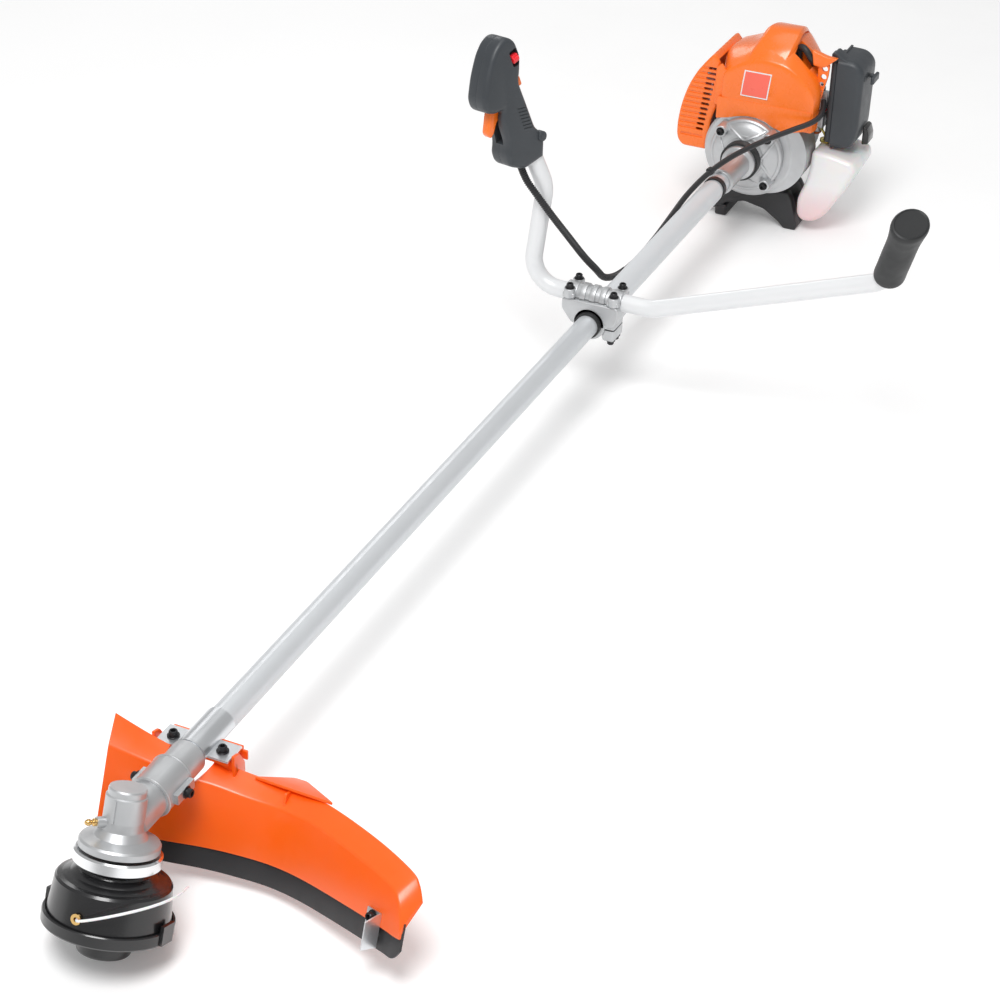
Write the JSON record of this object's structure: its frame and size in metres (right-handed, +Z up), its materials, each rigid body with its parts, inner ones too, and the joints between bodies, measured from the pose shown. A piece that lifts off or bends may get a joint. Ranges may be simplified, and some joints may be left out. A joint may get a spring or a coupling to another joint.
{
  "type": "string trimmer",
  "caption": "Petrol string trimmer with a straight boom, bump-feed line head under a swept guard, a bent handlebar with a throttle grip, and a two-stroke engine on a stand.",
  "frame": {"origin": "on the floor under the middle of the machine", "axes": "+X along the boom from the cutting head to the engine, +Z up, +Y towards the throttle grip side"},
  "size_m": [1.884, 0.5515, 0.4739],
  "materials": {
    "cast_metal": "matt cast",
    "bright_steel": "polished",
    "machined_steel": "machined",
    "plated_steel": "zinc plated",
    "black_steel": "black oxide",
    "brass": "satin",
    "gloss_black": "gloss",
    "matte_black": "matt",
    "slate_plastic": "fine textured",
    "orange_plastic": "satin",
    "guard_orange": "satin translucent",
    "red_plastic": "gloss",
    "white_nylon": "smooth",
    "silver_tube": "satin",
    "pale_sleeve": "satin",
    "white_bar": "gloss",
    "rubber": "matt",
    "tank_plastic": "translucent milky",
    "clear_tube": "clear",
    "friction_lining": "matt"
  },
  "bodies": {
    "boom": {"gearcase": "cast_metal", "shaft_bearings": "machined_steel", "guard": "guard_orange", "guard_skirt": "matte_black", "line_cutter": "plated_steel", "guard_bracket": "plated_steel", "socket_screws": "black_steel", "main_tube": "silver_tube", "tube_sleeve": "pale_sleeve", "handle_bracket": "cast_metal", "handle_cap": "cast_metal", "clamp_rubber": "rubber", "handlebar": "white_bar", "support_grip": "rubber", "throttle_housing_inner": "slate_plastic", "throttle_housing_outer": "slate_plastic", "throttle_cable": "rubber", "cable_ties": "matte_black", "nose_ring": "rubber", "clutch_housing": "cast_metal", "crankcase": "cast_metal", "cylinder": "cast_metal", "spark_plug": "matte_black", "shroud": "orange_plastic", "muffler": "machined_steel", "muffler_cover": "orange_plastic", "starter_housing": "slate_plastic", "carburettor": "cast_metal", "air_filter_base": "slate_plastic", "fuel_tank": "tank_plastic", "fuel_lines": "clear_tube", "engine_stand": "matte_black"},
    "head": {"bevel_gear": "machined_steel", "output_shaft": "machined_steel", "upper_holder": "bright_steel", "head_housing": "gloss_black", "head_cover": "gloss_black", "line_eyelets": "brass", "cutting_line_front": "white_nylon", "cutting_line_rear": "white_nylon"},
    "spool": {"spool": "matte_black", "line_winding": "white_nylon", "bump_knob": "gloss_black"},
    "drive": {"pinion_shaft": "machined_steel", "drive_shaft": "machined_steel", "clutch_drum": "machined_steel"},
    "crank": {"crankshaft": "machined_steel", "flywheel": "cast_metal", "clutch_shoes": "friction_lining"},
    "piston": {"piston": "machined_steel"},
    "trigger": {"throttle_trigger": "orange_plastic"},
    "stop_switch": {"stop_switch": "red_plastic"},
    "throttle_lock": {"throttle_lock": "orange_plastic"},
    "throttle_lever": {"throttle_lever": "plated_steel"},
    "choke": {"choke_lever": "slate_plastic"},
    "starter_pulley": {"starter_pulley": "matte_black"},
    "starter_handle": {"starter_handle": "slate_plastic"},
    "fuel_cap": {"fuel_cap": "matte_black"},
    "primer": {"primer_bulb": "orange_plastic"},
    "filter_cover": {"air_filter_cover": "slate_plastic"}
  },
  "joints": [
    {"name": "head_spin", "type": "hinge", "parent": "boom", "child": "head", "pos_m": [-0.854, 0.1338, 0.116], "axis": [0.3746, 0, 0.9272], "continuous": true},
    {"name": "drive_spin", "type": "hinge", "parent": "boom", "child": "drive", "pos_m": [-0.054, 0.1338, 0.116], "axis": [1, 0, 0], "continuous": true},
    {"name": "spool_bump", "type": "slide", "parent": "head", "child": "spool", "axis": [0.3746, 0, 0.9272], "range_m": [0, 0.005], "stiffness_N_per_m": 6000, "springref_m": -0.008},
    {"name": "crank_spin", "type": "hinge", "parent": "boom", "child": "crank", "pos_m": [0.846, 0.1338, 0.116], "axis": [1, 0, 0], "continuous": true},
    {"name": "piston_slide", "type": "slide", "parent": "boom", "child": "piston", "axis": [0, 0, 1], "range_m": [-0.014, 0.016]},
    {"name": "throttle_squeeze", "type": "hinge", "parent": "boom", "child": "trigger", "pos_m": [0.1836, 0.25134, 0.4028], "axis": [-0.3947, -0.9128, 0.1045], "range_deg": [0, 12], "stiffness_Nm_per_rad": 0.3, "springref_deg": -20.05},
    {"name": "stop_switch_slide", "type": "slide", "parent": "boom", "child": "stop_switch", "axis": [-0.2601, 0.22, 0.9402], "range_m": [0, 0.005]},
    {"name": "throttle_lock_press", "type": "slide", "parent": "boom", "child": "throttle_lock", "axis": [-0.8812, 0.344, -0.3242], "range_m": [0, 0.0025], "stiffness_N_per_m": 400, "springref_m": -0.003},
    {"name": "throttle_lever_turn", "type": "hinge", "parent": "boom", "child": "throttle_lever", "pos_m": [0.868, 0.0558, 0.206], "axis": [0, 0, -1], "range_deg": [-1, 50]},
    {"name": "choke_turn", "type": "hinge", "parent": "filter_cover", "child": "choke", "pos_m": [0.87, -0.0182, 0.234], "axis": [0, 1, 0], "range_deg": [-90, 0]},
    {"name": "starter_pull", "type": "slide", "parent": "boom", "child": "starter_handle", "axis": [0, 0, 1], "range_m": [0, 0.04], "stiffness_N_per_m": 30, "springref_m": -0.12},
    {"name": "starter_pulley_turn", "type": "hinge", "parent": "boom", "child": "starter_pulley", "pos_m": [0.922, 0.1338, 0.116], "axis": [1, 0, 0], "range_deg": [-1, 100]},
    {"name": "fuel_cap_turn", "type": "hinge", "parent": "boom", "child": "fuel_cap", "pos_m": [0.914, 0.0338, 0.076], "axis": [1, 0, 0], "range_deg": [0, 90]},
    {"name": "primer_press", "type": "slide", "parent": "boom", "child": "primer", "axis": [0, 0, 1], "range_m": [0, 0.002], "stiffness_N_per_m": 800, "springref_m": -0.001},
    {"name": "filter_cover_pull", "type": "slide", "parent": "boom", "child": "filter_cover", "axis": [0, -1, 0], "range_m": [0, 0.05]}
  ],
  "couplings": [
    {"joint": "drive_spin", "follows": "head_spin", "ratio": -1.3571},
    {"joint": "throttle_lever_turn", "follows": "throttle_squeeze", "ratio": 4},
    {"joint": "starter_pulley_turn", "follows": "starter_pull", "rad_per_m": 38.462}
  ]
}
